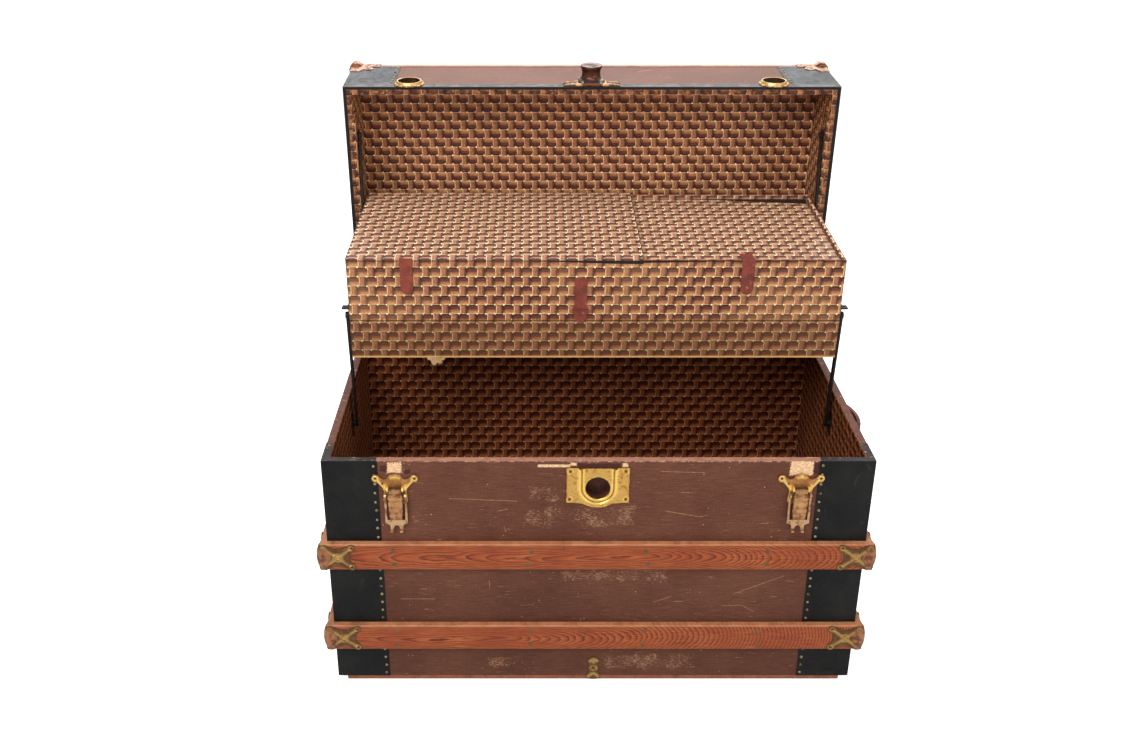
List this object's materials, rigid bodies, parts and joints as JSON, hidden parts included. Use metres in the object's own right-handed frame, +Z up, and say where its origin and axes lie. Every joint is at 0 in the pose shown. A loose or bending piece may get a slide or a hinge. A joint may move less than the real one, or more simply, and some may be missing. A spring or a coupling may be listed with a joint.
{
  "type": "travelling trunk with lift-up tray",
  "caption": "Open flat-topped travelling trunk with slats, brass fittings and a compartment tray that lifts on arms as its lid opens.",
  "frame": {"origin": "on the floor under the middle of the trunk, in the underside of the middle runner", "axes": "+Z up, the front faces -Y, +X to the right of someone facing the front"},
  "size_m": [0.9727, 0.7072, 0.9908],
  "materials": {
    "canvas": "worn canvas",
    "lining_paper": "printed paper",
    "binding": "black paint, worn",
    "slat_wood": "varnish",
    "runner_wood": "bare",
    "brass": "tarnished",
    "edge_steel": "worn",
    "black_steel": "japanned",
    "leather": "dry",
    "bronze": "dark"
  },
  "bodies": {
    "base": {"base_front_board": "canvas", "base_back_board": "canvas", "base_left_board": "canvas", "base_right_board": "canvas", "base_bottom_board": "canvas", "base_lining": "lining_paper", "base_corner_bindings": "binding", "upper_front_slat": "slat_wood", "lower_front_slat": "slat_wood", "left_end_slats": "slat_wood", "right_end_slats": "slat_wood", "front_bumpers": "brass", "back_bumpers": "brass", "bottom_runners": "runner_wood", "bottom_clamps": "brass", "lock_plate": "brass", "lock_case": "black_steel", "latch_plates": "brass", "handle_right": "leather", "handle_loops": "black_steel", "base_hinge_leaves": "binding", "arm_pivots": "black_steel"},
    "lid": {"lid_front_board": "canvas", "lid_back_board": "canvas", "lid_left_board": "canvas", "lid_right_board": "canvas", "lid_top_board": "canvas", "lid_end_strips": "lining_paper", "lid_lining": "lining_paper", "lid_edge_band": "edge_steel", "lid_corner_bindings": "binding", "lid_corner_caps": "brass", "lid_slats": "slat_wood", "catch_rings": "brass", "hasp_hinge_plate": "brass", "lid_hinge_leaves": "binding", "link_pivots": "black_steel"},
    "tray": {"tray_front_board": "canvas", "tray_back_board": "lining_paper", "tray_left_end": "lining_paper", "tray_right_end": "lining_paper", "tray_bottom": "lining_paper", "tray_divider": "lining_paper", "tray_cleats": "lining_paper", "tray_pivots": "black_steel", "tray_front_strap": "leather"},
    "tray_lid_left": {"tray_lid_left": "lining_paper", "strap_left": "leather"},
    "tray_lid_right": {"tray_lid_right": "lining_paper", "strap_right": "leather"},
    "tray_arm_left": {"tray_arm_left": "black_steel"},
    "tray_arm_right": {"tray_arm_right": "black_steel"},
    "lid_link_left": {"lid_link_left": "black_steel"},
    "lid_link_right": {"lid_link_right": "black_steel"},
    "hasp": {"hasp": "bronze"},
    "latch_lever_left": {"latch_lever_left": "brass"},
    "latch_lever_right": {"latch_lever_right": "brass"},
    "latch_hook_left": {"latch_hook_left": "brass"},
    "latch_hook_right": {"latch_hook_right": "brass"}
  },
  "joints": [
    {"name": "lid_hinge", "type": "hinge", "parent": "base", "child": "lid", "pos_m": [0, 0.259, 0.445], "axis": [-1, 0, 0], "range_deg": [-87.2, 0]},
    {"name": "tray_arm_left_pivot", "type": "hinge", "parent": "base", "child": "tray_arm_left", "pos_m": [-0.435, 0.0032, 0.388], "axis": [-1, 0, 0], "range_deg": [-67, 0]},
    {"name": "tray_arm_right_pivot", "type": "hinge", "parent": "base", "child": "tray_arm_right", "pos_m": [0.435, 0.0032, 0.388], "axis": [-1, 0, 0], "range_deg": [-67, 0]},
    {"name": "tray_pivot", "type": "hinge", "parent": "tray_arm_left", "child": "tray", "pos_m": [-0.435, -0.0215, 0.61466], "axis": [-1, 0, 0], "range_deg": [0, 69.3]},
    {"name": "lid_link_left_pivot", "type": "hinge", "parent": "lid", "child": "lid_link_left", "pos_m": [-0.4345, 0.26505, 0.86179], "axis": [-1, 0, 0], "range_deg": [-16.1, 0]},
    {"name": "lid_link_right_pivot", "type": "hinge", "parent": "lid", "child": "lid_link_right", "pos_m": [0.4345, 0.26505, 0.86179], "axis": [-1, 0, 0], "range_deg": [-16.1, 0]},
    {"name": "hasp_pivot", "type": "hinge", "parent": "lid", "child": "hasp", "pos_m": [0, 0.23669, 0.96253], "axis": [-1, 0, 0], "range_deg": [-180, 0]},
    {"name": "tray_lid_left_hinge", "type": "hinge", "parent": "tray", "child": "tray_lid_left", "pos_m": [-0.1745, 0.30423, 0.73493], "axis": [-1, 0, 0], "range_deg": [0, 60]},
    {"name": "tray_lid_right_hinge", "type": "hinge", "parent": "tray", "child": "tray_lid_right", "pos_m": [0.2525, 0.28941, 0.73033], "axis": [-1, 0, 0], "range_deg": [0, 60]},
    {"name": "latch_lever_left_pivot", "type": "hinge", "parent": "base", "child": "latch_lever_left", "pos_m": [-0.337, -0.2625, 0.401], "axis": [-1, 0, 0], "range_deg": [0, 170]},
    {"name": "latch_hook_left_pivot", "type": "hinge", "parent": "latch_lever_left", "child": "latch_hook_left", "pos_m": [-0.337, -0.2625, 0.389], "axis": [1, 0, 0], "range_deg": [-180, 0]},
    {"name": "latch_lever_right_pivot", "type": "hinge", "parent": "base", "child": "latch_lever_right", "pos_m": [0.337, -0.2625, 0.401], "axis": [-1, 0, 0], "range_deg": [0, 170]},
    {"name": "latch_hook_right_pivot", "type": "hinge", "parent": "latch_lever_right", "child": "latch_hook_right", "pos_m": [0.337, -0.2625, 0.389], "axis": [1, 0, 0], "range_deg": [-180, 0]}
  ],
  "couplings": [
    {"joint": "tray_arm_left_pivot", "follows": "lid_hinge", "ratio": 0.76835},
    {"joint": "tray_arm_right_pivot", "follows": "lid_hinge", "ratio": 0.76835},
    {"joint": "tray_pivot", "follows": "lid_hinge", "ratio": -0.79473},
    {"joint": "lid_link_left_pivot", "follows": "lid_hinge", "ratio": 0.18463},
    {"joint": "lid_link_right_pivot", "follows": "lid_hinge", "ratio": 0.18463}
  ]
}
